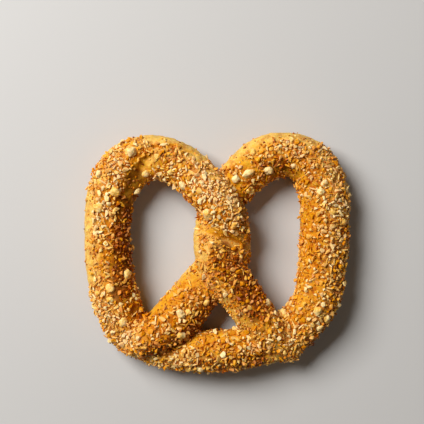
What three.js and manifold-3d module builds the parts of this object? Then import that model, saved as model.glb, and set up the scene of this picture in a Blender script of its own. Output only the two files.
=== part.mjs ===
// A soft pretzel: one rope of dough, looped, twisted once round itself and baked into one piece,
// with coarse toasted crumbs pressed onto its crust. Each crumb is a separate piece.
// Millimetres, +Z up. The pretzel lies flat: +X runs across the two loops and +Y towards their
// tops. The origin is the middle of the whole thing, on the surface that it rests on.
import * as THREE from "three";
import { ParametricGeometry } from "three/addons/geometries/ParametricGeometry.js";
import { mergeVertices } from "three/addons/utils/BufferGeometryUtils.js";
import Module from "manifold-3d";

// ---- Driving dimensions ----
const STRAND_WIDTH = 25; // of the baked rope where nothing presses on it
const STRAND_HEIGHT = 23.5;
const THIN_KEEPS = 0.15; // a thin stretch stays this much rounder than it is narrow
const CROSSING_LIFT = 9.0; // how far a strand climbs to lie over another
const CROSSING_SQUASH = 0.8; // the height that a strand keeps under or over another
const REST_DEPTH = 1.6; // how much of a strand's round underside is flat where it rests
const SECTION_POWER = 2.15; // 2 is an ellipse, and more is squarer
const LUMP = 0.018; // unevenness of the hand-rolled rope, as a share of its size

const SIDES = 22; // facets round the rope
const ROWS_PER_SPAN = 4; // sections between two points of the route
const TIP_ROWS = 4; // sections in each rounded end
const PLUG_SPAN = 0.25; // how far a length of rope reaches into the next one, in spans
const PLUG_SCALE = 0.85;

const CRUMB_FLATNESS = 0.8; // a crumb's thickness as a share of its breadth
const CRUMB_GAP = 0.3; // between a crumb and the crust, so that both stay solids of their own
const CRUMB_SUNK = 0.28; // share of a crumb's thickness that is pressed into the crust
const CRUMB_ROUGHNESS = 0.16; // how far a crumb's corners stray, as a share of its size
const CRUMB_SEED = 7; // starts the random numbers that shape the crumbs

// ---- The rope's route, from one end to the other ----
// [x, y, width as a share of STRAND_WIDTH, lift from 0 (resting) to 1 (over another strand),
//  squash from 0 (free) to 1 (pressed between strands)]
const ROUTE = [
  [-46.5, -51.5, 0.6, 0.6, 1.0], // left end, lying on the bottom of the bow
  [-38.0, -47.8, 0.86, 0.9, 0.8],
  [-26.5, -40.0, 1.03, 0.5, 0.3],
  [-13.8, -26.7, 1.02, 0.05, 0.1],
  [-3.8, -12.7, 0.94, 0.0, 0.7],
  [7.3, -3.2, 0.88, 0.0, 1.0], // under the second crossing
  [8.2, 8.5, 0.79, 0.4, 0.9],
  [3.9, 21.3, 0.9, 1.0, 0.8], // over the first crossing
  [-6.0, 34.0, 0.9, 0.75, 0.5],
  [-17.6, 46.2, 0.96, 0.2, 0.1],
  [-32.0, 52.7, 0.98, 0.0, 0.0], // top of the left loop
  [-46.7, 49.8, 1.1, 0.0, 0.0],
  [-57.3, 38.7, 1.13, 0.0, 0.0],
  [-62.0, 22.0, 1.02, 0.0, 0.0],
  [-61.8, -1.0, 1.02, 0.0, 0.0],
  [-57.0, -29.0, 1.06, 0.0, 0.1],
  [-48.5, -44.5, 1.0, 0.0, 0.7],
  [-35.5, -53.0, 0.86, 0.0, 0.9],
  [-18.5, -55.5, 0.9, 0.0, 0.3],
  [-1.5, -55.7, 0.91, 0.0, 0.0], // bottom of the bow
  [15.0, -54.2, 0.95, 0.0, 0.3],
  [32.0, -49.5, 1.02, 0.0, 0.9],
  [45.0, -41.5, 1.04, 0.0, 0.5],
  [54.8, -28.0, 1.02, 0.0, 0.0],
  [58.2, -10.0, 1.06, 0.0, 0.0],
  [59.7, 15.0, 1.09, 0.0, 0.0],
  [58.5, 35.5, 1.12, 0.0, 0.0],
  [52.3, 48.3, 1.08, 0.0, 0.0],
  [38.5, 54.5, 1.0, 0.0, 0.0], // top of the right loop
  [24.7, 51.3, 1.0, 0.0, 0.0],
  [13.3, 42.2, 0.94, 0.0, 0.5],
  [4.5, 29.0, 0.86, 0.0, 1.0], // under the first crossing
  [-2.3, 14.2, 0.84, 0.2, 1.0],
  [-3.0, 1.0, 0.86, 0.9, 0.9],
  [3.0, -9.8, 0.98, 1.0, 0.8], // over the second crossing
  [11.6, -22.3, 0.92, 0.55, 0.3],
  [19.9, -34.8, 0.88, 0.4, 0.2],
  [29.7, -46.0, 0.82, 0.5, 0.7],
  [39.5, -53.0, 0.68, 0.25, 1.0], // right end, lying on the bottom of the bow
];

// The route is built as four lengths, none of which crosses itself.
const LENGTHS = [
  [0, 10],
  [10, 19],
  [19, 28],
  [28, 38],
];

// ---- The coarse crumbs ----
// [x, y, length, breadth, turn in degrees], seen from above. They drop onto the crust there.
const CRUMBS = [
  [-48.0, 55.0, 5.2, 4.8, 20],
  [-66.0, 24.5, 4.6, 4.4, 80],
  [-56.5, 33.0, 5.0, 4.2, 150],
  [-5.7, 20.8, 5.6, 4.4, 100],
  [16.7, 43.2, 6.6, 3.6, 30],
  [9.8, 40.5, 4.2, 3.8, 75],
  [28.0, 44.9, 4.4, 4.0, 10],
  [18.0, 34.0, 4.6, 4.0, 130],
  [-19.6, 36.8, 4.8, 3.4, 120],
  [8.7, 14.8, 4.0, 3.2, 45],
  [-20.7, -33.9, 4.6, 3.6, 145],
  [-20.2, -45.7, 4.6, 3.4, 0],
  [-50.4, -12.5, 4.8, 4.2, 60],
  [-59.3, -20.0, 4.8, 3.8, 110],
  [-66.2, -22.7, 3.8, 3.2, 25],
  [-59.4, -26.0, 3.8, 3.0, 170],
  [54.8, -32.3, 4.6, 3.8, 35],
  [60.1, -37.1, 4.4, 3.6, 95],
  [69.0, 16.5, 4.0, 3.6, 15],
  [62.8, 22.3, 3.8, 3.0, 140],
  [58.6, 37.9, 3.8, 3.2, 55],
  [56.4, 33.0, 4.2, 3.8, 165],
  [-45.0, 33.5, 3.8, 3.0, 40],
  [-40.0, 43.2, 3.6, 3.0, 5],
  [-52.4, -38.8, 4.8, 3.8, 75],
  [-10.1, 33.6, 3.6, 3.2, 115],
  [-6.3, -27.5, 3.6, 3.0, 50],
  [-29.8, 59.3, 3.6, 1.9, 10],
  [71.0, 3.0, 4.4, 2.0, 85],
  [36.3, -34.2, 4.8, 4.0, 105],
  [27.0, -28.2, 4.8, 3.8, 50],
  [-66.0, 43.2, 3.8, 3.2, 65],
  [56.5, -42.0, 3.8, 3.0, 20],
  [19.5, 55.0, 3.8, 3.2, 90],
  [41.5, 47.5, 3.4, 2.6, 35],
  [50.0, 8.5, 3.4, 2.8, 125],
  [-10.0, -65.0, 4.4, 2.8, 160],
];

const wasm = await Module();
wasm.setup();

// A closed three.js geometry as a manifold-3d solid.
function solidFrom(geometry) {
  const bare = geometry.index ? geometry.toNonIndexed() : geometry.clone();
  bare.deleteAttribute("normal");
  bare.deleteAttribute("uv");
  const merged = mergeVertices(bare, 1e-4);
  return new wasm.Manifold(
    new wasm.Mesh({
      numProp: 3,
      vertProperties: merged.attributes.position.array,
      triVerts: new Uint32Array(merged.index.array),
    }),
  );
}

// A manifold-3d solid as a three.js geometry.
function geometryFrom(solid) {
  const mesh = solid.getMesh();
  const geometry = new THREE.BufferGeometry();
  geometry.setAttribute("position", new THREE.BufferAttribute(mesh.vertProperties, 3));
  geometry.setIndex(new THREE.BufferAttribute(mesh.triVerts, 1));
  return geometry.toNonIndexed();
}

// The same random numbers on every run.
function seeded(seed) {
  let state = seed;
  return () => {
    state = (state * 1664525 + 1013904223) % 4294967296;
    return state / 4294967296;
  };
}

// ---- The rope ----
// Two curves through the same number of points, so one parameter reads both.
const strandHeight = (squash) => STRAND_HEIGHT * (1 - (1 - CROSSING_SQUASH) * squash);
const centres = new THREE.CatmullRomCurve3(
  ROUTE.map(([x, y, , lift, squash]) => {
    const resting = strandHeight(squash) / 2 - REST_DEPTH;
    return new THREE.Vector3(x, y, resting + lift * CROSSING_LIFT);
  }),
);
const sizes = new THREE.CatmullRomCurve3(
  ROUTE.map(([, , width, , squash]) => {
    const height = strandHeight(squash) * Math.min(1, width + THIN_KEEPS);
    return new THREE.Vector3(width * STRAND_WIDTH, height, 0);
  }),
  false,
  "catmullrom",
);

// A point on the rope's skin: `station` is where along the route, `turn` the angle round it.
function skinPoint(station, turn, target) {
  const t = THREE.MathUtils.clamp(station.place / (ROUTE.length - 1), 0, 1);
  const size = sizes.getPoint(t);
  const along = centres.getTangent(t);
  const side = new THREE.Vector3(along.y, -along.x, 0).normalize();
  const up = new THREE.Vector3().crossVectors(side, along);
  const round = (value) => Math.sign(value) * Math.abs(value) ** (2 / SECTION_POWER);
  const lumps =
    Math.sin(2 * turn + 1.1 * station.place) + Math.sin(3 * turn - 0.7 * station.place + 1);
  const scale = station.scale * (1 + LUMP * lumps);
  centres.getPoint(t, target);
  target.addScaledVector(side, (size.x / 2) * round(Math.cos(turn)) * scale);
  target.addScaledVector(up, (size.y / 2) * round(Math.sin(turn)) * scale);
  target.addScaledVector(along, station.reach * (size.x / 2));
}

// The sections that close one end of a length: a rounded tip at an end of the rope, or a plug
// that reaches into the next length. `way` is -1 at the start of a length and 1 at its end.
function endStations(place, way) {
  const isTip = place === 0 || place === ROUTE.length - 1;
  if (!isTip) {
    const inside = place + way * PLUG_SPAN;
    return [
      { place: inside, scale: PLUG_SCALE, reach: 0 },
      { place: inside, scale: 0, reach: 0 },
    ];
  }
  return Array.from({ length: TIP_ROWS }, (_, row) => {
    const angle = ((row + 1) / TIP_ROWS) * (Math.PI / 2);
    const scale = row === TIP_ROWS - 1 ? 0 : Math.cos(angle);
    return { place, scale, reach: way * Math.sin(angle) };
  });
}

function ropeLength([first, last]) {
  const rows = (last - first) * ROWS_PER_SPAN;
  const stations = [
    ...endStations(first, -1).reverse(),
    ...Array.from({ length: rows + 1 }, (_, row) => ({
      place: first + row / ROWS_PER_SPAN,
      scale: 1,
      reach: 0,
    })),
    ...endStations(last, 1),
  ];
  const skin = (u, v, target) => {
    const station = stations[Math.round(v * (stations.length - 1))];
    const side = Math.round(u * SIDES) % SIDES;
    skinPoint(station, (-2 * Math.PI * side) / SIDES, target);
  };
  return solidFrom(new ParametricGeometry(skin, SIDES, stations.length - 1));
}

// ---- The bread: all four lengths baked together, flat where they rest ----
const FLOOR_SIDE = 300; // a block under z = 0, wider than the pretzel, that cuts the base flat
const FLOOR_DEPTH = 60;

function bakedRope() {
  const floor = new THREE.BoxGeometry(FLOOR_SIDE, FLOOR_SIDE, FLOOR_DEPTH);
  floor.translate(0, 0, -FLOOR_DEPTH / 2);
  const whole = LENGTHS.map(ropeLength).reduce((sum, length) => sum.add(length));
  return whole.subtract(solidFrom(floor));
}

const bread = bakedRope();
const crust = new THREE.Mesh(
  geometryFrom(bread),
  new THREE.MeshStandardMaterial({ color: 0xc8841f, roughness: 0.55, metalness: 0 }),
);
crust.name = "baked_dough";

// ---- Crumbs ----
// An angular lump, flatter than it is wide, with its length along X.
function lump(length, breadth, random) {
  const geometry = new THREE.IcosahedronGeometry(1, 1);
  geometry.deleteAttribute("normal");
  geometry.deleteAttribute("uv");
  const merged = mergeVertices(geometry, 1e-4);
  const corners = merged.attributes.position;
  for (let i = 0; i < corners.count; i++) {
    const stray = 1 + CRUMB_ROUGHNESS * (2 * random() - 1);
    corners.setXYZ(
      i,
      (corners.getX(i) * stray * length) / 2,
      (corners.getY(i) * stray * breadth) / 2,
      (corners.getZ(i) * stray * breadth * CRUMB_FLATNESS) / 2,
    );
  }
  return merged;
}

const DOWN = new THREE.Vector3(0, 0, -1);
const UP = new THREE.Vector3(0, 0, 1);

// Drops a crumb straight down onto the crust, beds it and cuts its foot to the crust's shape.
function crumbSolid([x, y, length, breadth, turn], random) {
  const ray = new THREE.Raycaster(new THREE.Vector3(x, y, 4 * STRAND_HEIGHT), DOWN);
  const [hit] = ray.intersectObject(crust);
  if (!hit) throw new Error(`the crumb at ${x}, ${y} misses the pretzel`);
  const normal = hit.face.normal;
  const thickness = breadth * CRUMB_FLATNESS;
  const place = new THREE.Matrix4().compose(
    hit.point.clone().addScaledVector(normal, thickness * (0.5 - CRUMB_SUNK)),
    new THREE.Quaternion()
      .setFromUnitVectors(UP, normal)
      .multiply(
        new THREE.Quaternion().setFromAxisAngle(UP, THREE.MathUtils.degToRad(turn)),
      ),
    new THREE.Vector3(1, 1, 1),
  );
  const whole = solidFrom(lump(length, breadth, random).applyMatrix4(place));
  const away = normal.clone().multiplyScalar(CRUMB_GAP);
  const pieces = whole.subtract(bread.translate(away.toArray())).decompose();
  return pieces.sort((a, b) => b.volume() - a.volume())[0];
}

// ---- Assembly ----
const crumbMaterial = new THREE.MeshStandardMaterial({
  color: 0xe8c27a,
  roughness: 0.6,
  metalness: 0,
});
const pretzel = new THREE.Group();
pretzel.add(crust);

const random = seeded(CRUMB_SEED);
CRUMBS.forEach((row, i) => {
  const crumb = new THREE.Mesh(geometryFrom(crumbSolid(row, random)), crumbMaterial);
  crumb.name = `crumb_${String(i + 1).padStart(2, "0")}`;
  pretzel.add(crumb);
});

// The origin goes to the middle of the finished piece.
const middle = new THREE.Box3().setFromObject(pretzel).getCenter(new THREE.Vector3());
pretzel.position.set(-middle.x, -middle.y, 0);

export default pretzel;
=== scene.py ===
# %% [markdown]
# # A soft pretzel under toasted crumbs
# The real thing is one rope of dough, looped, twisted once round itself and baked into a single
# loaf. Melted butter is brushed on and coarse crumbs are pressed into it.
# So there are two jobs here. The dough needs one continuous crust with soft creases where strands
# lie on each other, and the topping needs thousands of small, irregular, separate bits.
# The frame holds the loaf's true shape and the biggest crumbs, so everything starts from it.

# %% Load the frame
import math

import bmesh
import bpy
import numpy as np
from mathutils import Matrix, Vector, noise
from mathutils.bvhtree import BVHTree


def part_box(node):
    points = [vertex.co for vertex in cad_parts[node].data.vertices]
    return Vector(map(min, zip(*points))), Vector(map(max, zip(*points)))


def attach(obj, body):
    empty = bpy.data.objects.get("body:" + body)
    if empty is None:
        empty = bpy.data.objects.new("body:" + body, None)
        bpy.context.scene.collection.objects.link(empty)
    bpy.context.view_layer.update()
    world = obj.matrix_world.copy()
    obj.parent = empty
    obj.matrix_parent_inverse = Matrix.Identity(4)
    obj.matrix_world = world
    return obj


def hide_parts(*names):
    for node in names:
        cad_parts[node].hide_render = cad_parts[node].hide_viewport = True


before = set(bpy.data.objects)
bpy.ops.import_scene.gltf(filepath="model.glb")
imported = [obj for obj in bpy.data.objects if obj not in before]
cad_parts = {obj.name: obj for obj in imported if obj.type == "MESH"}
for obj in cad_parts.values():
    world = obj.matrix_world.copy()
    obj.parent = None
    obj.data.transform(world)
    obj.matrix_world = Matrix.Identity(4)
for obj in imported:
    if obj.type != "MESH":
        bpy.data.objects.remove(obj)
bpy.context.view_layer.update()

MM = 0.001  # the frame is in metres, and a pretzel is easier to think about in millimetres
dough_low, dough_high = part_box("baked_dough")
dough_size = dough_high - dough_low
print("the dough is", [round(side / MM, 1) for side in dough_size], "mm")

# %% [markdown]
# ## Camera
# A pretzel is a drawing in dough, and it reads best from straight above.
# A long lens from 60 cm keeps the loops' outline true, with no bulging towards the eye.
# The picture is framed a little above the middle of the pretzel, which leaves more room at its top.

# %% Set the camera
CAMERA_HEIGHT = 600 * MM
CAMERA_PLACE = (-2.7 * MM, 22.4 * MM)  # the spot on the table that it looks down at
VIEW_WIDTH = 237.4 * MM  # what the picture spans at the view's level
VIEW_LEVEL = 0.4 * dough_size.z  # a little under half the height of the dough
SENSOR = 36  # mm, the width of the film

eye = bpy.data.cameras.new("eye")
eye.sensor_width = SENSOR
eye.lens = SENSOR * (CAMERA_HEIGHT - VIEW_LEVEL) / VIEW_WIDTH
camera = bpy.data.objects.new("camera", eye)
camera.location = (*CAMERA_PLACE, CAMERA_HEIGHT)
bpy.context.scene.collection.objects.link(camera)
bpy.context.scene.camera = camera
print("the lens is", round(eye.lens, 1), "mm")

# %% [markdown]
# ## The crust's surface
# Baked dough has no edges: strands swell until they press together, and the skin rounds over
# every join. The frame's dough is faceted, with sharp creases.
# Sculpting could soften it, but a voxel remesh does it evenly: it wraps the whole loaf in one skin
# of small squares, which can then be relaxed. Relaxing moves each point towards its neighbours.

# %% Wrap the dough in one fine skin
SKIN_VOXEL = 0.75 * MM
RELAX_STEPS = 18


def linked(name, mesh):
    """A new object that shows this mesh."""
    thing = bpy.data.objects.new(name, mesh)
    bpy.context.scene.collection.objects.link(thing)
    return thing


def remeshed(mesh, voxel):
    """The same solid, wrapped in even squares."""
    block = linked("block", mesh)
    wrap = block.modifiers.new("wrap", "REMESH")
    wrap.mode = "VOXEL"
    wrap.voxel_size = voxel
    graph = bpy.context.evaluated_depsgraph_get()
    skin = bpy.data.meshes.new_from_object(block.evaluated_get(graph))
    skin.materials.clear()  # takes off the frame's own plain finish
    bpy.data.objects.remove(block)
    return skin


def points_of(mesh):
    """A mesh's points as rows of x, y, z."""
    flat = np.empty(len(mesh.vertices) * 3)
    mesh.vertices.foreach_get("co", flat)
    return flat.reshape(-1, 3)


def put_points(mesh, points):
    """Moves a mesh's points to these places."""
    mesh.vertices.foreach_set("co", points.ravel())
    mesh.update()


def normals_of(mesh):
    """The outward direction at each point."""
    flat = np.empty(len(mesh.vertices) * 3)
    mesh.vertex_normals.foreach_get("vector", flat)
    return flat.reshape(-1, 3)


def edges_of(mesh):
    """Each edge as the numbers of its two points."""
    flat = np.empty(len(mesh.edges) * 2, np.int32)
    mesh.edges.foreach_get("vertices", flat)
    return flat.reshape(-1, 2)


def averaged(values, edges):
    """Each row of values becomes the mean of its neighbours' rows."""
    count = len(values)
    ends = np.concatenate([edges[:, 0], edges[:, 1]])
    others = np.concatenate([edges[:, 1], edges[:, 0]])
    many = np.bincount(ends, minlength=count)
    sums = [np.bincount(ends, weights=column[others], minlength=count) for column in values.T]
    return np.stack(sums, axis=1) / np.maximum(many, 1)[:, None]


def relaxed(values, edges, steps):
    """Each row of values, moved halfway to its neighbours' mean, this many times."""
    for _ in range(steps):
        values = (values + averaged(values, edges)) / 2
    return values


skin = remeshed(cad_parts["baked_dough"].data.copy(), SKIN_VOXEL)
skin_edges = edges_of(skin)
skin_points = relaxed(points_of(skin), skin_edges, RELAX_STEPS)
put_points(skin, skin_points)
print("the skin has", len(skin.vertices), "points")

# %% [markdown]
# ## Folds and creases
# Bending a thick rope of dough makes folds on the inside of each bend, and rolling leaves seams.
# These are long, soft valleys, too wide for a bump map to fake from the side, so the skin's points
# are pushed in along each one. A valley is a line on the plan with a depth and a width: the push
# is deepest on the line and fades away as a bell curve.

# %% Press the folds into the skin
# Each fold: its line as shares of the dough's box (across, along), its depth and half-width in mm.
FOLDS = [
    ([(0.155, 0.735), (0.20, 0.80), (0.24, 0.885)], 2.6, 4.0),  # inside of the left bend
    ([(0.27, 0.935), (0.35, 0.94), (0.42, 0.905)], 1.3, 1.0),  # seam along the left loop's top
    ([(0.59, 0.065), (0.65, 0.06), (0.70, 0.085)], 1.5, 1.3),  # seam under the right end
    ([(0.42, 0.60), (0.50, 0.57), (0.56, 0.545), (0.62, 0.515)], 2.2, 1.5),  # second crossing
    ([(0.52, 0.835), (0.555, 0.785), (0.585, 0.74), (0.61, 0.70)], 2.0, 1.5),  # first crossing
    ([(0.83, 0.70), (0.80, 0.80), (0.755, 0.86)], 0.8, 1.6),  # inside of the right bend
    ([(0.51, 0.47), (0.545, 0.43), (0.56, 0.40)], 1.4, 1.4),  # between the legs
    ([(0.20, 0.085), (0.28, 0.085), (0.36, 0.115), (0.42, 0.165)], 1.6, 1.4),  # left end
]


def on_plan(shares):
    """A place on the plan, in metres, from shares of the dough's box."""
    across, along = shares
    return np.array([dough_low.x + across * dough_size.x, dough_low.y + along * dough_size.y])


def distance_to_line(points, line):
    """How far each point is from a bent line on the plan."""
    nearest = np.full(len(points), np.inf)
    for start, end in zip(line, line[1:]):
        a, b = on_plan(start), on_plan(end)
        along = np.clip(((points[:, :2] - a) @ (b - a)) / ((b - a) @ (b - a)), 0, 1)
        gap = np.linalg.norm(points[:, :2] - a - along[:, None] * (b - a), axis=1)
        nearest = np.minimum(nearest, gap)
    return nearest


def bell(distance, half_width):
    """1 on a line, fading away on both sides."""
    return np.exp(-((distance / half_width) ** 2))


def eased(values, low, high):
    """0 below low, 1 above high, and a smooth climb between."""
    t = np.clip((values - low) / (high - low), 0, 1)
    return t * t * (3 - 2 * t)


FOLDED_FACES = (0.0, 0.5)  # how far up a face must look: no fold at the first, all at the second
skin_normals = normals_of(skin)
facing_up = eased(skin_normals[:, 2], *FOLDED_FACES)
fold_depth = np.zeros(len(skin_points))
for line, depth, half_width in FOLDS:
    fold_depth += depth * bell(distance_to_line(skin_points, line), half_width * MM)
skin_points = skin_points - skin_normals * (fold_depth * facing_up * MM)[:, None]
print("the deepest fold is", round(fold_depth.max(), 1), "mm")

# %% [markdown]
# ## Lumps and blisters
# Dough is rolled by hand and rises unevenly, so its surface swells at the scale of a finger, of a
# pea, and of two sizes of grain. Noise at each of the four, pushed along the normal, gives them.
# It could be a Displace modifier, but doing it on the points keeps the underside under control:
# that lies on the baking tray, so it stays flat.

# %% Raise the lumps
# Each scale of lump: its size across in mm and how far it swells in mm.
LUMPS = [(17, 0.6), (6.5, 0.36), (3.0, 0.34), (1.9, 0.26)]
LUMPS_BEGIN = (0.5 * MM, 4 * MM)  # heights above the tray: no lumps at the first, all at the second
SEED_STEP = (13.7, 7.1, 3.3)  # each seed looks at its own part of the noise


def noise_at(points, size, seed):
    """Smooth noise from about -1 to 1, with lumps of this size in mm."""
    shift = Vector([seed * step for step in SEED_STEP])
    scale = 1 / (size * MM)
    return np.array([noise.noise(Vector(p) * scale + shift) for p in points])


swell = np.zeros(len(skin_points))
for seed, (size, height) in enumerate(LUMPS):
    swell += height * noise_at(skin_points, size, seed)
above_tray = eased(skin_points[:, 2], *LUMPS_BEGIN)
skin_points = skin_points + skin_normals * (swell * above_tray * MM)[:, None]
skin_points[:, 2] = np.maximum(skin_points[:, 2], 0)
put_points(skin, skin_points)
skin.shade_smooth()
crust = linked("golden_crust", skin)
print("the lumps swell by up to", round(swell.max(), 2), "mm")

# %% [markdown]
# ## Where the crust is hollow
# The crust is painted darker in its creases and between lumps, as painted shade.
# A hollow is where the skin lies below its own smoothed copy, so the two are compared and the
# difference is stored on the skin, as an attribute that the material can read.

# %% Measure the hollows
HOLLOW_STEPS = 60
HOLLOW_DEPTH = 0.9 * MM  # this far below its smoothed copy, the skin counts as fully hollow


def store(mesh, name, values):
    """Keeps one number for each point, under a name that a material can look up."""
    attribute = mesh.attributes.new(name, "FLOAT", "POINT")
    attribute.data.foreach_set("value", values.astype(np.float32))


skin_normals = normals_of(skin)
smoothed = relaxed(skin_points, skin_edges, HOLLOW_STEPS)
below = np.einsum("ij,ij->i", smoothed - skin_points, skin_normals)
hollow = eased(below, 0, HOLLOW_DEPTH)
store(skin, "hollow", hollow)
print("hollow share of the skin", round(float((hollow > 0.5).mean()), 3))

# %% [markdown]
# ## Golden crust
# A baked crust is not one colour. The dough's own tan shows low on the sides, the outer shoulders
# where the skin stretched are pale, and the top is orange-gold with toasted freckles. The oven
# scorches some places, and the underside is a flat, darker bake from the tray. Shade is painted in
# as well: in creases, under crumbs (with butter soaking in there too) and in patches on the sides
# that turn away from the lamp.
# So the colour is a stack of mixes, each driven by what it follows: height, which way a face looks,
# noise, and numbers stored on the skin. Four of those (bare, outer, cover and painted_shade) are
# stored further on, with the crumbs: a material only looks them up when it is rendered.
# Butter leaves a low sheen, and bread lets a little light through, which takes the edge off
# shadows.

# %% Colours and small helpers for node materials


def linear_part(value):
    """One part of a colour, by the standard curve that screens use."""
    if value <= 0.04045:
        return value / 12.92
    return ((value + 0.055) / 1.055) ** 2.4


def linear(red, green, blue):
    """A colour given as 0 to 255 on a screen, as the linear numbers that a shader wants."""
    return [linear_part(value / 255) for value in (red, green, blue)] + [1]


# A colour mix keeps its two colours and its result on these sockets.
MIX_FIRST, MIX_SECOND, MIX_RESULT = 6, 7, 2


class Nodes:
    """A material's node tree, with a short word for each kind of node that is used here."""

    def __init__(self, name):
        self.material = bpy.data.materials.new(name)
        self.material.use_nodes = True
        self.tree = self.material.node_tree
        self.shader = self.tree.nodes["Principled BSDF"]

    def add(self, kind, **settings):
        """A new node of this kind."""
        node = self.tree.nodes.new(kind)
        for key, value in settings.items():
            setattr(node, key, value)
        return node

    def feed(self, socket, value):
        """Gives a socket a number, a colour or another node's output."""
        if isinstance(value, bpy.types.NodeSocket):
            self.tree.links.new(value, socket)
        else:
            socket.default_value = value

    def noise(self, size, detail=3, roughness=0.55):
        """Noise with features of this size in mm, 0 to 1."""
        node = self.add("ShaderNodeTexNoise")
        self.feed(node.inputs["Vector"], self.add("ShaderNodeTexCoord").outputs["Object"])
        self.feed(node.inputs["Scale"], 1 / (size * MM))
        self.feed(node.inputs["Detail"], detail)
        self.feed(node.inputs["Roughness"], roughness)
        return node.outputs["Fac"]

    def between(self, value, low, high, to_low=0.0, to_high=1.0):
        """Maps low..high to to_low..to_high, smoothly, and no further."""
        node = self.add("ShaderNodeMapRange", interpolation_type="SMOOTHSTEP")
        for name, given in zip(
            ("Value", "From Min", "From Max", "To Min", "To Max"),
            (value, low, high, to_low, to_high),
        ):
            self.feed(node.inputs[name], given)
        return node.outputs["Result"]

    def maths(self, operation, a, b):
        """The sum or product of two numbers."""
        node = self.add("ShaderNodeMath", operation=operation)
        self.feed(node.inputs[0], a)
        self.feed(node.inputs[1], b)
        return node.outputs[0]

    def mix(self, share, a, b):
        """A colour that goes from a, at share 0, to b, at share 1."""
        node = self.add("ShaderNodeMix", data_type="RGBA")
        self.feed(node.inputs["Factor"], share)
        self.feed(node.inputs[MIX_FIRST], a)
        self.feed(node.inputs[MIX_SECOND], b)
        return node.outputs[MIX_RESULT]

    def stored(self, name):
        """A number that was stored on the points."""
        return self.add("ShaderNodeAttribute", attribute_name=name).outputs["Fac"]

    def bump(self, height, depth):
        """A fine relief of this depth in mm, too small to be worth real geometry."""
        node = self.add("ShaderNodeBump")
        node.inputs["Distance"].default_value = depth * MM
        self.feed(node.inputs["Height"], height)
        self.feed(self.shader.inputs["Normal"], node.outputs["Normal"])

    def sheen_and_glow(self, gloss, glow, colours, reach):
        """How strongly it mirrors, and how much light of each colour goes how far through it."""
        self.shader.inputs["Specular IOR Level"].default_value = gloss
        self.shader.inputs["Subsurface Weight"].default_value = glow
        self.shader.inputs["Subsurface Radius"].default_value = colours
        self.shader.inputs["Subsurface Scale"].default_value = reach


# %% Finish for the crust
DOUGH_TAN = linear(222, 158, 60)
PALE_SHOULDER = linear(236, 198, 108)
HONEY_GOLD = linear(230, 162, 34)
BAKED_GOLD = linear(224, 142, 0)
BUTTER_YELLOW = linear(236, 180, 40)
# This orange serves toasted freckles and the painted shade under crumbs and in hollows.
TOAST_AND_SHADE_ORANGE = linear(178, 78, 0)
# This brown serves the scorch marks and the patches of painted shade.
SCORCH_AND_SHADE_BROWN = linear(100, 34, 0)
TRAY_BROWN = linear(150, 80, 20)
# Sizes across, in mm.
GOLD_PATCH = 22
SCORCH_MARK = 8
FRECKLE = 3.2
BUTTER_SPOT = 1.9
PORES = (0.9, 0.35)
PORE_DEPTH = 0.25  # mm
# The most that each effect covers the colour under it, from 0 to 1.
MOST_BUTTERED = 0.5
MOST_PALED = 0.75
# This one covers scorch marks and painted shade alike.
MOST_SCORCH_AND_SHADE = 0.85
# The next two carry painted shade: under crumbs, together with soaked butter, and in hollows.
MOST_SOAK_AND_SHADE = 0.3
MOST_CREASE_SHADE = 0.2


def height_and_facing(m):
    """Each point's height above the tray, and how far its face looks up, from -1 to 1."""
    place = m.add("ShaderNodeSeparateXYZ")
    m.feed(place.inputs[0], m.add("ShaderNodeTexCoord").outputs["Object"])
    facing = m.add("ShaderNodeSeparateXYZ")
    m.feed(facing.inputs[0], m.add("ShaderNodeNewGeometry").outputs["Normal"])
    return place.outputs["Z"], facing.outputs["Z"]


def baked(m, height, up):
    """Tan low down, gold in patches on top, butter yellow where bare, pale on the shoulders."""
    gold = m.mix(m.between(m.noise(GOLD_PATCH, detail=4), 0.35, 0.65), HONEY_GOLD, BAKED_GOLD)
    on_top = m.maths("MULTIPLY", m.between(height, 4 * MM, 13 * MM), m.between(up, -0.1, 0.7))
    risen = m.mix(on_top, DOUGH_TAN, gold)
    bare = m.between(m.stored("bare"), 0.4, 1, 0, MOST_BUTTERED)
    buttered = m.mix(bare, risen, BUTTER_YELLOW)
    shoulder = m.maths("MULTIPLY", m.stored("outer"), m.between(up, -0.15, 0.3, 0, MOST_PALED))
    return m.mix(shoulder, buttered, PALE_SHOULDER)


def toasted(m, colour, freckles, up):
    """Freckles toast, fewer of them low down and on bare crust. Spots of butter stay yellow."""
    toast = m.maths("MULTIPLY", m.between(freckles, 0.42, 0.66), m.between(up, -0.7, 0.6, 0.45, 0.85))
    kept = m.maths("MULTIPLY", toast, m.between(m.stored("bare"), 0.3, 1, 1, 0.7))
    freckled = m.mix(kept, colour, TOAST_AND_SHADE_ORANGE)
    butter = m.noise(BUTTER_SPOT, detail=3, roughness=0.6)
    return m.mix(m.between(butter, 0.5, 0.68, 0, MOST_BUTTERED), freckled, BUTTER_YELLOW)


def scorched_and_shaded(m, colour):
    """The oven's brown in random scorch marks of its own, and painted shade in the stored patches."""
    marks = m.between(m.noise(SCORCH_MARK, detail=5), 0.5, 0.72, 0, 0.5)
    # The noise marks are scorching, and the stored patches add painted shade in the same brown.
    scorch_and_shade = m.maths("ADD", marks, m.stored("painted_shade"))
    return m.mix(m.between(scorch_and_shade, 0, 1.2, 0, MOST_SCORCH_AND_SHADE), colour, SCORCH_AND_SHADE_BROWN)


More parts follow.
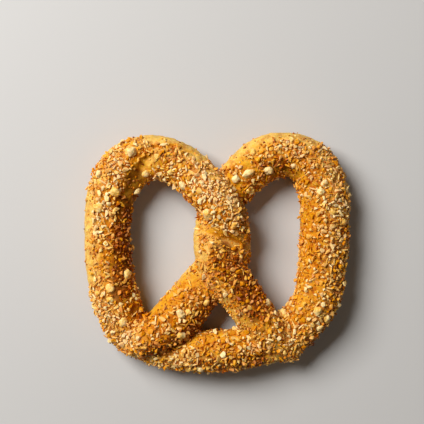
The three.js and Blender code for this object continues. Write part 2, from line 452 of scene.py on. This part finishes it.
def soaked_and_shaded(m, colour, height, up):
    """Butter soaking in and painted shade from the crumbs darken the crust under crumbs, painted
    shade darkens the hollows, and the tray browns the underside.
    """
    # Under crumbs: butter soaking in, and painted shade from the crumbs.
    soak_and_crumb_shade = m.between(m.stored("cover"), 0.25, 0.8, 0, MOST_SOAK_AND_SHADE)
    greasy_and_shaded = m.mix(soak_and_crumb_shade, colour, TOAST_AND_SHADE_ORANGE)
    # Painted shade in the hollows.
    crease_shaded = m.mix(m.maths("MULTIPLY", m.stored("hollow"), MOST_CREASE_SHADE), greasy_and_shaded, TOAST_AND_SHADE_ORANGE)
    under = m.maths("MULTIPLY", m.between(up, -0.1, -0.75), m.between(height, 5 * MM, 0.8 * MM))
    return m.mix(under, crease_shaded, TRAY_BROWN)


def crust_finish():
    """The crust's whole finish: its colour, its sheen, its glow and its pores."""
    m = Nodes("golden_crust")
    height, up = height_and_facing(m)
    freckles = m.noise(FRECKLE, detail=5, roughness=0.7)
    scorched_and_shaded_crust = scorched_and_shaded(m, toasted(m, baked(m, height, up), freckles, up))
    m.feed(m.shader.inputs["Base Color"], soaked_and_shaded(m, scorched_and_shaded_crust, height, up))
    m.feed(m.shader.inputs["Roughness"], m.between(freckles, 0.3, 0.7, 0.42, 0.62))
    m.sheen_and_glow(gloss=0.12, glow=0.2, colours=(1.0, 0.45, 0.15), reach=1.5 * MM)
    coarse, fine = PORES
    m.bump(m.maths("ADD", m.noise(coarse, detail=4), m.noise(fine, detail=2)), PORE_DEPTH)
    return m.material


skin.materials.append(crust_finish())
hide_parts("baked_dough")
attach(crust, "root")
print("the crust has its finish")

# %% [markdown]
# ## Coarse crumbs
# The biggest crumbs are nuggets, 3 to 7 mm long: clumps of flour and butter that rounded off as
# they toasted. The frame holds each as an angular solid, 0.3 mm clear of the dough.
# Each is wrapped in a finer skin, relaxed until its corners are gone, roughened again with small
# noise, and pressed down until it is stuck in the crust.

# %% Round and seat each nugget
NUGGET_VOXEL = 0.28 * MM
NUGGET_RELAX = 4
NUGGET_SWELL = 1.28  # makes good what relaxing takes off, and what is pressed out of sight
NUGGET_PRESS = 0.55 * MM  # past the frame's gap, so that it sits in the butter
NUGGET_LUMPS = [(2.2, 0.42), (0.95, 0.22)]  # size across and swell, in mm
NUGGET_SEED = 31  # the first nugget's

crust_tree = BVHTree.FromPolygons(
    [tuple(p) for p in skin_points],
    [tuple(face.vertices) for face in skin.polygons],
)
nugget_names = sorted(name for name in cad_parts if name.startswith("crumb_"))
nuggets = []
for seed, name in enumerate(nugget_names):
    mesh = remeshed(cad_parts[name].data.copy(), NUGGET_VOXEL)
    points = relaxed(points_of(mesh), edges_of(mesh), NUGGET_RELAX)
    middle = points.mean(axis=0)
    points = middle + (points - middle) * NUGGET_SWELL
    put_points(mesh, points)
    outward = normals_of(mesh)
    for size, height in NUGGET_LUMPS:
        points += outward * (noise_at(points, size, seed + NUGGET_SEED) * height * MM)[:, None]
    away = crust_tree.find_nearest(Vector(middle))[1]
    points -= np.array(away) * NUGGET_PRESS
    put_points(mesh, points)
    mesh.shade_smooth()
    mesh.name = name.replace("crumb", "nugget")
    nugget = linked(mesh.name, mesh)
    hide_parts(name)
    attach(nugget, "root")
    nuggets.append(nugget)
print(len(nuggets), "nuggets, each of about", len(nuggets[0].data.vertices), "points")

# %% [markdown]
# ## Where the fine crumbs lie
# Crumbs are thrown onto a buttered top. They lie thickest on faces that look up and stop short of
# the outer sides, which were held while the top was pressed into the crumbs. On the inner sides,
# round the holes, they reach further down. The underside stays clean.
# They miss the valleys and other patches where the butter was thin, and crowd where it was thick.
# A density between 0 and 1 says all this at once, and each crumb later asks it whether to land.

# %% Say how thickly the crumbs lie
# Each bare patch: a line through it as shares of the dough's box, its half-width in mm and how
# bare it is.
BARE_PATCHES = [
    ([(0.175, 0.72), (0.20, 0.80), (0.235, 0.87)], 5.4, 1.0),  # valley inside the left bend
    ([(0.25, 0.985), (0.36, 0.965), (0.44, 0.90)], 4.2, 1.0),  # outer side of the left loop's top
    ([(0.475, 0.83), (0.49, 0.815)], 2.4, 0.9),
    ([(0.01, 0.38), (0.0, 0.55), (0.01, 0.72)], 5.6, 1.0),  # left side
    ([(0.53, 0.88), (0.61, 0.95), (0.68, 0.98)], 5.0, 1.0),  # outer side of the right loop
    ([(0.585, 0.885), (0.61, 0.86)], 3.2, 1.0),
    ([(0.60, 0.935), (0.66, 0.92)], 2.6, 0.75),
    ([(0.70, 0.995), (0.76, 0.995), (0.86, 0.96)], 3.8, 0.95),
    ([(0.54, 0.815), (0.575, 0.775), (0.60, 0.735)], 2.4, 0.95),  # first crossing
    ([(0.69, 0.83), (0.75, 0.84), (0.82, 0.815)], 2.6, 0.85),  # inner side of the right bend
    ([(0.425, 0.605), (0.50, 0.575), (0.56, 0.55), (0.62, 0.525)], 2.7, 1.0),  # second crossing
    ([(0.50, 0.535), (0.57, 0.515)], 2.4, 0.7),
    ([(0.43, 0.49), (0.455, 0.485)], 2.4, 1.0),
    ([(0.42, 0.50), (0.418, 0.62)], 2.2, 1.0),  # left side of the twist
    ([(0.41, 0.46), (0.36, 0.395), (0.29, 0.29)], 3.4, 0.95),  # upper side of the left leg
    ([(0.41, 0.40), (0.43, 0.42)], 3.2, 0.9),
    ([(0.355, 0.36), (0.39, 0.355)], 2.6, 0.7),
    ([(0.26, 0.255), (0.29, 0.275)], 2.2, 0.9),
    ([(0.165, 0.42), (0.172, 0.66)], 2.2, 0.6),  # inner side of the left arm
    ([(0.43, 0.42), (0.36, 0.31), (0.28, 0.22)], 3.4, 0.5),  # top of the left leg
    ([(0.835, 0.32), (0.83, 0.55), (0.825, 0.76)], 3.6, 0.5),  # inner half of the right arm
    ([(0.20, 0.075), (0.26, 0.06)], 2.4, 0.7),
    ([(0.40, 0.125), (0.50, 0.155), (0.56, 0.155)], 2.6, 0.7),  # upper side of the bow
    ([(0.565, 0.20), (0.555, 0.27), (0.525, 0.33)], 2.0, 0.85),  # left side of the right leg
    ([(0.60, 0.22), (0.635, 0.215)], 3.0, 0.7),
    ([(0.675, 0.055), (0.72, 0.06)], 3.4, 0.75),
    ([(0.60, 0.61), (0.598, 0.71)], 1.8, 0.9),  # right side of the twist
]
# Each thick patch, in the same way: a line, its half-width and how much the crumbs crowd there.
THICK_PATCHES = [
    ([(0.45, 0.79), (0.50, 0.74), (0.55, 0.63)], 9.0, 1.0),  # top of the twist
    ([(0.07, 0.62), (0.09, 0.74), (0.14, 0.86)], 6.0, 0.7),  # left arm
    ([(0.06, 0.30), (0.12, 0.18), (0.19, 0.13)], 5.5, 0.7),  # left corner
    ([(0.935, 0.30), (0.94, 0.50), (0.93, 0.74)], 7.0, 0.65),  # right arm
    ([(0.80, 0.90), (0.90, 0.82)], 5.0, 0.45),  # right loop's top
    ([(0.76, 0.11), (0.86, 0.20), (0.91, 0.30)], 4.5, 0.5),  # right corner
    ([(0.34, 0.06), (0.46, 0.05), (0.57, 0.06)], 3.5, 0.6),  # lower side of the bow
    ([(0.36, 0.87), (0.42, 0.80)], 6.0, 0.45),  # left loop, above the twist
]
# Crumbs cling in clumps of two sizes: each has its size in mm and how much it thins the gaps.
CLUMPS = [(5, 0.55), (14, 0.5)]
CLUMP_SEED = 5
CLUMP_EDGE = (-0.05, 0.3)  # from a clump's middle to a gap, on its noise
STRAY = 0.08  # the share of crumbs that stick where they should not
BARE_AT_MOST = 0.97  # even a bare patch keeps a few
# How far up a face must look: no crumb lands at the first, and all that may land at the second.
INNER_FACES = (-0.15, 0.4)
OUTER_FACES = (0.2, 0.7)
STRAY_FACES = (-0.35, 0.0)
TURNED_OUT = (-0.1, 0.5)  # how far out a face must look to be on the outer side
CLEAR_OF_TRAY = (3 * MM, 9 * MM)  # heights: no crumb at the first, all at the second


def within(distance, half_width, softness=0.4):
    """1 on a line, 0 well outside its half-width, and a soft edge between."""
    return 1 - eased(distance, (1 - softness) * half_width, (1 + softness) * half_width)


def strongest(points, patches):
    """The strength at each point of the strongest patch there."""
    found = np.zeros(len(points))
    for line, half_width, strength in patches:
        inside = within(distance_to_line(points, line), half_width * MM)
        found = np.maximum(found, strength * inside)
    return found


def outer_side(points, normals):
    """1 on the sides that face away from the pretzel's middle, 0 on those that face it."""
    middle = np.array([(dough_low.x + dough_high.x) / 2, (dough_low.y + dough_high.y) / 2])
    outward = points[:, :2] - middle
    outward /= np.linalg.norm(outward, axis=1)[:, None]
    return eased(np.einsum("ij,ij->i", outward, normals[:, :2]), *TURNED_OUT)


def crumb_density(points, normals):
    """0 where no crumb lands, 1 where they lie thickest."""
    outer = outer_side(points, normals)
    up = normals[:, 2]
    lands = eased(up, *INNER_FACES) * (1 - outer) + eased(up, *OUTER_FACES) * outer
    lands = np.maximum(lands, STRAY * eased(up, *STRAY_FACES))
    bare = strongest(points, BARE_PATCHES)
    thick = 1.0
    for seed, (size, thinned) in enumerate(CLUMPS, start=CLUMP_SEED):
        thick = thick * (1 - thinned * eased(noise_at(points, size, seed), *CLUMP_EDGE))
    thick = np.maximum(thick, strongest(points, THICK_PATCHES))
    clear_of_tray = eased(points[:, 2], *CLEAR_OF_TRAY)
    return lands * (1 - BARE_AT_MOST * bare) * thick * clear_of_tray


cover = crumb_density(skin_points, skin_normals)
store(skin, "cover", cover)
store(skin, "bare", strongest(skin_points, BARE_PATCHES))
store(skin, "outer", outer_side(skin_points, skin_normals))
print("mean cover of the upper faces", round(float(cover[skin_normals[:, 2] > 0].mean()), 2))

# %% [markdown]
# ## Where shade is painted
# Most of these dark patches are painted shade: on the sides that turn away from the lamp, under the
# second crossing and under the left leg's tip. Crust and crumbs are darkened together, so one map
# of these patches serves both.

# %% Say where shade is painted
# Each patch of painted shade: a line through it as shares of the dough's box, its half-width in mm
# and how dark it is painted.
PAINTED_SHADE_PATCHES = [
    ([(0.145, 0.34), (0.15, 0.50), (0.15, 0.70)], 5.5, 1.0),  # inner side of the left arm
    ([(0.18, 0.72), (0.20, 0.82)], 4.0, 0.7),  # inside of the left bend
    ([(0.29, 0.885), (0.33, 0.90)], 4.0, 0.5),  # left loop's top
    ([(0.515, 0.50), (0.54, 0.44)], 6.0, 0.8),  # under the second crossing
    ([(0.57, 0.42), (0.61, 0.35), (0.65, 0.27)], 7.5, 1.0),  # right leg
    ([(0.24, 0.10), (0.33, 0.12), (0.42, 0.20), (0.47, 0.29)], 4.5, 0.9),  # left leg's lower side
    ([(0.97, 0.62), (0.955, 0.40), (0.92, 0.22), (0.84, 0.11)], 4.0, 0.6),  # right outer side
    ([(0.68, 0.84), (0.76, 0.865)], 4.0, 0.7),  # inner side of the right bend
    ([(0.60, 0.72), (0.63, 0.78)], 3.5, 0.6),
    ([(0.595, 0.60), (0.60, 0.70)], 3.0, 0.7),  # right side of the twist
    ([(0.42, 0.03), (0.56, 0.05), (0.66, 0.055)], 4.0, 0.7),  # lower side of the bow
    ([(0.20, 0.25), (0.23, 0.24)], 4.0, 0.6),
]
# The patches of painted shade are stored on the skin, for the crust's finish.
painted_shade = strongest(skin_points, PAINTED_SHADE_PATCHES)
store(skin, "painted_shade", painted_shade)
print("browned share of the skin", round(float((painted_shade > 0.4).mean()), 2))

# %% [markdown]
# ## Throwing the crumbs
# Points are drawn at random, evenly over the whole skin. Each becomes a crumb only if the density
# there allows it and no crumb already lies too close.
# The big ones go first and finer ones fill what is left, as crumbs settle when they are shaken.
# A grid of small cells makes the search for neighbours quick: only the nearby cells are looked at.

# %% Draw the landing places
RANDOM = np.random.default_rng(20)
CELL = 1.6 * MM  # the side of a cell
NEARBY = [(i, j, k) for i in (-1, 0, 1) for j in (-1, 0, 1) for k in (-1, 0, 1)]
NUGGET_EVERY = 40  # one in this many of a nugget's points keeps other crumbs away
NUGGET_KEEPS = 0.3 * MM  # how far it keeps them


def random_places(count):
    """Evenly spread points on the skin, with the outward direction at each."""
    skin.calc_loop_triangles()
    corners = np.empty(len(skin.loop_triangles) * 3, np.int32)
    skin.loop_triangles.foreach_get("vertices", corners)
    corners = corners.reshape(-1, 3)
    a, b, c = (skin_points[corners[:, k]] for k in range(3))
    areas = np.linalg.norm(np.cross(b - a, c - a), axis=1) / 2
    chosen = RANDOM.choice(len(areas), size=count, p=areas / areas.sum())
    u, v = RANDOM.random(count), RANDOM.random(count)
    flip = u + v > 1
    u[flip], v[flip] = 1 - u[flip], 1 - v[flip]
    shares = np.stack([1 - u - v, u, v], axis=1)
    picked = corners[chosen]
    places = np.einsum("ij,ijk->ik", shares, skin_points[picked])
    outward = np.einsum("ij,ijk->ik", shares, skin_normals[picked])
    return places, outward / np.linalg.norm(outward, axis=1)[:, None]


class Neighbours:
    """Remembers where crumbs lie, to keep the next one from landing on top of them."""

    def __init__(self):
        self.cells = {}

    def cell(self, place):
        """The grid cell that a place is in."""
        return tuple((place // CELL).astype(int))

    def is_free(self, place, radius):
        """Whether a crumb of this radius has room here."""
        x, y, z = self.cell(place)
        for i, j, k in NEARBY:
            for other, other_radius in self.cells.get((x + i, y + j, z + k), ()):
                reach = radius + other_radius
                gap = place - other
                if gap @ gap < reach * reach:
                    return False
        return True

    def add(self, place, radius):
        """Puts a crumb down here."""
        self.cells.setdefault(self.cell(place), []).append((place, radius))


taken = Neighbours()
on_top = Neighbours()
for nugget in nuggets:
    for point in points_of(nugget.data)[::NUGGET_EVERY]:
        taken.add(point, NUGGET_KEEPS)


def landed(sizes, room, layer, clumped=1.0):
    """Throws crumbs of these half-sizes onto a layer. Returns the places, directions and sizes of
    those that stay. A smaller room lets crumbs overlap, and a higher clumped keeps them to thick
    places."""
    places, outward = random_places(len(sizes))
    keep = RANDOM.random(len(sizes)) < crumb_density(places, outward) ** clumped
    places, outward, sizes = places[keep], outward[keep], sizes[keep]
    reaches = np.sqrt(sizes[:, 0] * sizes[:, 1]) * room
    stays = []
    for i, (place, reach) in enumerate(zip(places, reaches)):
        if layer.is_free(place, reach):
            layer.add(place, reach)
            stays.append(i)
    return places[stays], outward[stays], sizes[stays]


# %% [markdown]
# ## One crumb's shape
# A crumb is a broken, toasted bit: a few flat faces, no two alike. The hull of a handful of random
# points is just that. Points on a ball make a chunk, and points round the two ends and the middle
# of a stick make a sliver. A few dozen shapes of each kind are enough, because every crumb is
# turned, stretched and bent a little in its own way.
# Thousands of separate objects would be slow to handle, so every crumb of one kind goes into one
# mesh, still as its own closed solid. The work is done for all of them at once, with arrays.

# %% Break the crumb shapes
SHAPES_OF_EACH = 32
CHUNK_CORNERS = 11
STICK_RINGS = [(-1, 0.55), (0.05, 1.0), (1, 0.5)]  # place along the stick and width there
STICK_SIDES = 4


def hull(corners):
    """The points and triangles of the hull round some corners."""
    shape = bmesh.new()
    for corner in corners:
        shape.verts.new(corner)
    bmesh.ops.convex_hull(shape, input=shape.verts)
    bmesh.ops.delete(shape, geom=[v for v in shape.verts if not v.link_faces], context="VERTS")
    bmesh.ops.triangulate(shape, faces=shape.faces)
    bmesh.ops.recalc_face_normals(shape, faces=shape.faces)
    shape.verts.index_update()
    points = np.array([tuple(v.co) for v in shape.verts])
    faces = np.array([[v.index for v in face.verts] for face in shape.faces])
    shape.free()
    return points, faces


def chunk_shape():
    """A rounded chunk about 2 across."""
    corners = RANDOM.normal(size=(CHUNK_CORNERS, 3))
    return hull(corners / np.linalg.norm(corners, axis=1)[:, None])


def stick_shape():
    """A sliver about 2 long and 2 thick, to be stretched by its size."""
    corners = []
    for along, width in STICK_RINGS:
        start = RANDOM.uniform(0, math.tau)
        for side in range(STICK_SIDES):
            turn = start + (side + RANDOM.uniform(-0.25, 0.25)) * math.tau / STICK_SIDES
            out = width * RANDOM.uniform(0.75, 1.0)
            along_here = along * RANDOM.uniform(0.8, 1.0)
            corners.append((along_here, out * math.cos(turn), out * math.sin(turn)))
    return hull(corners)


CHUNKS = [chunk_shape() for _ in range(SHAPES_OF_EACH)]
STICKS = [stick_shape() for _ in range(SHAPES_OF_EACH)]
print("a chunk has about", len(CHUNKS[0][1]), "faces and a stick", len(STICKS[0][1]))

# %% Build many crumbs at once
ATLAS_MARGIN = 0.1  # of a crumb's cell in the texture map
PAINTED_SHADE_DARKENS = 0.42  # how far a patch of painted shade moves a crumb down the scale of browning
THICK_DRY_AND_PAINTED_LIGHT = 0.4  # how far a thick patch moves it up: crumbs that lie clear of the butter, and painted light
TONE_MIDDLE = 0.53  # on the same scale, from 0, darkest, to 1, palest
TONE_SPREAD = (0.44, 0.28)  # how much crumbs differ one by one, and from place to place
TONE_PATCH = 9  # mm across, where crumbs of like tone lie together
TONE_SEED = 11


def random_turns(count):
    """Rotation matrices that turn any way."""
    q = RANDOM.normal(size=(count, 4))
    q /= np.linalg.norm(q, axis=1)[:, None]
    w, x, y, z = q.T
    rows = [
        [1 - 2 * (y * y + z * z), 2 * (x * y - z * w), 2 * (x * z + y * w)],
        [2 * (x * y + z * w), 1 - 2 * (x * x + z * z), 2 * (y * z - x * w)],
        [2 * (x * z - y * w), 2 * (y * z + x * w), 1 - 2 * (x * x + y * y)],
    ]
    return np.array(rows).transpose(2, 0, 1)


def bases(outward, tilt):
    """For each crumb, two directions along the crust and one out of it, tilted a little."""
    out = outward + RANDOM.normal(size=outward.shape) * tilt
    out /= np.linalg.norm(out, axis=1)[:, None]
    first = np.cross(out, RANDOM.normal(size=out.shape))
    first /= np.linalg.norm(first, axis=1)[:, None]
    return np.stack([first, np.cross(out, first), out], axis=2)


def texture_places(shape, cells, side):
    """Texture coordinates: each crumb has its own cell, its upper faces left and its lower right."""
    points, faces = shape
    flat = 0.5 + points[:, :2] / np.abs(points).max() * (0.5 - ATLAS_MARGIN)
    corner = flat[faces] * [0.5, 1]
    corner[points[faces].mean(axis=1)[:, 2] < 0, :, 0] += 0.5
    origin = np.stack([cells % side, cells // side], axis=1)
    return ((origin[:, None, None, :] + corner[None]) / side).reshape(-1, 2)


def crumb_parts(shape, cells, side, places, outward, sizes, rolls, bend, lift, tilt):
    """The points, faces and texture places of all crumbs that share one shape. rolls says whether
    it may lie any way up, bend how far its corners stray, lift how high its middle lies in
    half-thicknesses, and tilt how much it leans."""
    points, faces = shape
    count = len(places)
    bits = points[None] * (1 + RANDOM.uniform(-bend, bend, (count, len(points), 3)))
    if rolls:
        bits = np.einsum("nij,nvj->nvi", random_turns(count), bits)
    turned = np.einsum("nij,nvj->nvi", bases(outward, tilt), bits * sizes[:, None, :])
    middles = places + outward * (sizes[:, 2] * lift)[:, None]
    return turned + middles[:, None, :], faces, texture_places(shape, cells, side)


def crumb_tones(places, pale):
    """How pale each crumb is, by chance and by region, paler where crumbs lie thick (partly dry
    crumbs, partly painted light), and darker on the patches of painted shade.
    """
    own, shared = TONE_SPREAD
    tones = TONE_MIDDLE + pale + own * RANDOM.uniform(-1, 1, len(places))
    tones += shared * noise_at(places, TONE_PATCH, TONE_SEED)
    # Thick patches are paler: partly dry crumbs clear of the butter, partly painted light.
    tones += THICK_DRY_AND_PAINTED_LIGHT * strongest(places, THICK_PATCHES)
    # Crumbs on the patches of painted shade are painted darker.
    return np.clip(tones - PAINTED_SHADE_DARKENS * strongest(places, PAINTED_SHADE_PATCHES), 0, 1)


def joined_mesh(name, points, faces, texture):
    """One mesh of triangles, all flat, with its texture places."""
    mesh = bpy.data.meshes.new(name)
    mesh.vertices.add(len(points))
    mesh.vertices.foreach_set("co", points.ravel())
    mesh.loops.add(len(faces) * 3)
    mesh.loops.foreach_set("vertex_index", faces.ravel().astype(np.int32))
    mesh.polygons.add(len(faces))
    mesh.polygons.foreach_set("loop_start", np.arange(len(faces), dtype=np.int32) * 3)
    mesh.update()
    layer = mesh.uv_layers.new(name="OFBake")
    layer.data.foreach_set("uv", texture.astype(np.float32).ravel())
    mesh.shade_flat()
    return mesh


def crumb_mesh(name, shapes, landing, finish, pale, **way):
    """Makes all crumbs of one kind, as one mesh. pale shifts their tone, and the rest is passed on
    to crumb_parts."""
    places, outward, sizes = landing
    count = len(places)
    side = math.ceil(math.sqrt(count))
    all_points, all_faces, all_texture, owners = [], [], [], []
    filled = 0
    for kind, shape in enumerate(shapes):
        mine = np.arange(kind, count, len(shapes))
        bits, faces, texture = crumb_parts(
            shape, mine, side, places[mine], outward[mine], sizes[mine], **way
        )
        per_bit = bits.shape[1]
        starts = filled + np.arange(len(mine)) * per_bit
        all_points.append(bits.reshape(-1, 3))
        all_faces.append((faces[None] + starts[:, None, None]).reshape(-1, 3))
        all_texture.append(texture)
        owners.append(np.repeat(mine, per_bit))
        filled += len(mine) * per_bit
    points, faces, texture, owner = map(
        np.concatenate, (all_points, all_faces, all_texture, owners)
    )
    mesh = joined_mesh(name, points, faces, texture)
    store(mesh, "tone", crumb_tones(places, pale)[owner])
    store(mesh, "blush", RANDOM.random(count)[owner])
    mesh.materials.append(finish)
    piece = linked(name, mesh)
    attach(piece, "root")
    print(name, count, "crumbs,", len(faces), "faces")


# %% [markdown]
# ## Toasted crumb
# Each crumb browned by its own amount, from pale straw to dark brown. The tone is stored on its
# points when it is made, and a ramp turns it into a colour. Fine noise speckles each one, and some
# crumbs have a pinkish blush.
# Butter on the crumbs gives a small bright glint, so they are a little less rough than dry flour.
# The nuggets share the finish, with a tone from noise in place of the stored one.

# %% Finish for every crumb
PALE_STRAW = linear(253, 225, 166)
BUTTER_CRUMB = linear(250, 205, 114)
TAN_CRUMB = linear(238, 164, 14)
TOFFEE_CRUMB = linear(214, 120, 0)
DARK_CRUMB = linear(136, 54, 0)
BLUSH_CRUMB = linear(240, 172, 94)
# Where each colour sits on the scale of browning, from 0, darkest, to 1, palest.
BROWNING = [
    (0.0, DARK_CRUMB),
    (0.1, TOFFEE_CRUMB),
    (0.4, TAN_CRUMB),
    (0.75, BUTTER_CRUMB),
    (1.0, PALE_STRAW),
]
# Sizes across, in mm.
SPECKLE = 0.8
TOASTED_REGION = 14
GRIT = 0.4
NUGGET_PATCH = 9
GRIT_DEPTH = 0.1  # mm
SPECKLE_SHIFT = 0.14  # how far speckles move the tone, either way
NUGGET_TONES = (0.6, 0.95)
# The most that each effect covers the colour under it, from 0 to 1.
MOST_TOASTED = 0.2
MOST_BLUSHED = 0.55


def browning_ramp(m, tone):
    """Turns a tone into a colour."""
    ramp = m.add("ShaderNodeValToRGB")
    stops = ramp.color_ramp.elements
    while len(stops) < len(BROWNING):
        stops.new(0.5)
    for stop, (where, colour) in zip(stops, BROWNING):
        stop.position = where
        stop.color = colour
    m.feed(ramp.inputs["Fac"], tone)
    return ramp.outputs["Color"]


def crumb_finish(name, tone_of):
    """The finish of a crumb. tone_of builds the number from 0 to 1 that says how pale it is."""
    m = Nodes(name)
    speckle = m.noise(SPECKLE, detail=3)
    speckled = m.between(speckle, 0.3, 0.7, -SPECKLE_SHIFT, SPECKLE_SHIFT)
    own_colour = browning_ramp(m, m.maths("ADD", tone_of(m), speckled))
    regions = m.between(m.noise(TOASTED_REGION, detail=2), 0.4, 0.65, 0, MOST_TOASTED)
    toasted_colour = m.mix(regions, own_colour, TOFFEE_CRUMB)
    blush = m.between(m.stored("blush"), 0.6, 0.9, 0, MOST_BLUSHED)
    m.feed(m.shader.inputs["Base Color"], m.mix(blush, toasted_colour, BLUSH_CRUMB))
    m.feed(m.shader.inputs["Roughness"], m.between(speckle, 0.3, 0.7, 0.34, 0.55))
    m.sheen_and_glow(gloss=0.22, glow=0.25, colours=(1.0, 0.6, 0.3), reach=0.8 * MM)
    m.bump(m.noise(GRIT, detail=3), GRIT_DEPTH)
    return m.material


fine_finish = crumb_finish("toasted_crumb", lambda m: m.stored("tone"))
nugget_finish = crumb_finish(
    "toasted_nugget",
    lambda m: m.between(m.noise(NUGGET_PATCH, detail=1), 0.35, 0.6, *NUGGET_TONES),
)
for nugget in nuggets:
    nugget.data.materials.append(nugget_finish)

# %% [markdown]
# ## The throw
# Five kinds lie on the real crust: rounded pellets, thin slivers, flat flakes, fine grains in what
# is left between them, and a sparse topping on the others where they are thick.
# They go on in that order, each kind with its own sizes, and later kinds find less room.

# %% Throw them, coarse to fine


def throw(name, shapes, least, most, thrown, layer, room, clumped=1.0, pale=0.0, **way):
    """Throws one kind of crumb, with half-sizes from least to most in mm: along, across and up."""
    sizes = RANDOM.uniform(least, most, (thrown, 3)) * MM
    crumb_mesh(name, shapes, landed(sizes, room, layer, clumped), fine_finish, pale, **way)


throw(
    "pellets", CHUNKS, least=[1.1, 1.0, 0.8], most=[2.5, 2.0, 1.5], thrown=4600, layer=taken,
    room=0.8, clumped=1.2, pale=0.08, rolls=True, bend=0.08, lift=0.6, tilt=0.3,
)
throw(
    "slivers", STICKS, least=[1.5, 0.55, 0.5], most=[2.6, 0.85, 0.7], thrown=3000, layer=taken,
    room=0.55, rolls=False, bend=0.15, lift=1.0, tilt=0.35,
)
throw(
    "flakes", CHUNKS, least=[0.8, 0.65, 0.45], most=[2.0, 1.4, 0.95], thrown=22000, layer=taken,
    room=0.6, clumped=1.3, rolls=True, bend=0.15, lift=0.7, tilt=0.45,
)
throw(
    "grains", CHUNKS, least=[0.45, 0.4, 0.35], most=[1.0, 0.8, 0.65], thrown=40000, layer=taken,
    room=0.65, clumped=0.75, pale=-0.18, rolls=True, bend=0.15, lift=0.5, tilt=0.4,
)
throw(
    "topping", CHUNKS, least=[0.9, 0.65, 0.45], most=[1.8, 1.1, 0.8], thrown=6000, layer=on_top,
    room=1.2, clumped=3.0, pale=0.06, rolls=True, bend=0.15, lift=1.9, tilt=0.5,
)

# %% [markdown]
# ## Table and light
# A plain pale table and one large soft lamp, up on the left behind the pretzel, as daylight from a
# window. It comes from the side, so each crumb has a lit side and a shaded side. A weak lamp
# opposite and a faint, warm sky fill the shadows.

# %% Set the table and the lamps
TABLE_EDGE = 3.0  # metres from the middle to each edge
TABLE_GREY = linear(200, 198, 195)
SKY_CREAM = linear(255, 222, 176)
SKY_STRENGTH = 0.05

table_mesh = bpy.data.meshes.new("table")
table_corners = [(x * TABLE_EDGE, y * TABLE_EDGE, 0) for x, y in ((-1, -1), (1, -1), (1, 1), (-1, 1))]
table_mesh.from_pydata(table_corners, [], [(0, 1, 2, 3)])
table = linked("table", table_mesh)
table_finish = Nodes("pale_table")
table_finish.shader.inputs["Base Color"].default_value = TABLE_GREY
table_finish.shader.inputs["Roughness"].default_value = 0.7
table_mesh.materials.append(table_finish.material)


def soft_lamp(name, place, size, power):
    """A square lamp that looks at the pretzel. place and size are in metres, power in watts."""
    light = bpy.data.lights.new(name, "AREA")
    light.size = size
    light.energy = power
    lamp = bpy.data.objects.new(name, light)
    lamp.location = place
    lamp.rotation_euler = (-Vector(place)).to_track_quat("-Z", "Y").to_euler()
    bpy.context.scene.collection.objects.link(lamp)


soft_lamp("window", (-0.79, 0.66, 1.0), 0.8, 30)
soft_lamp("room", (0.6, -0.5, 1.2), 1.2, 1.0)
sky = bpy.data.worlds.new("sky")
sky.use_nodes = True
sky_light = sky.node_tree.nodes["Background"]
sky_light.inputs["Color"].default_value = SKY_CREAM
sky_light.inputs["Strength"].default_value = SKY_STRENGTH
bpy.context.scene.world = sky
bpy.context.scene.view_settings.view_transform = "Standard"
print("the lamps are set")
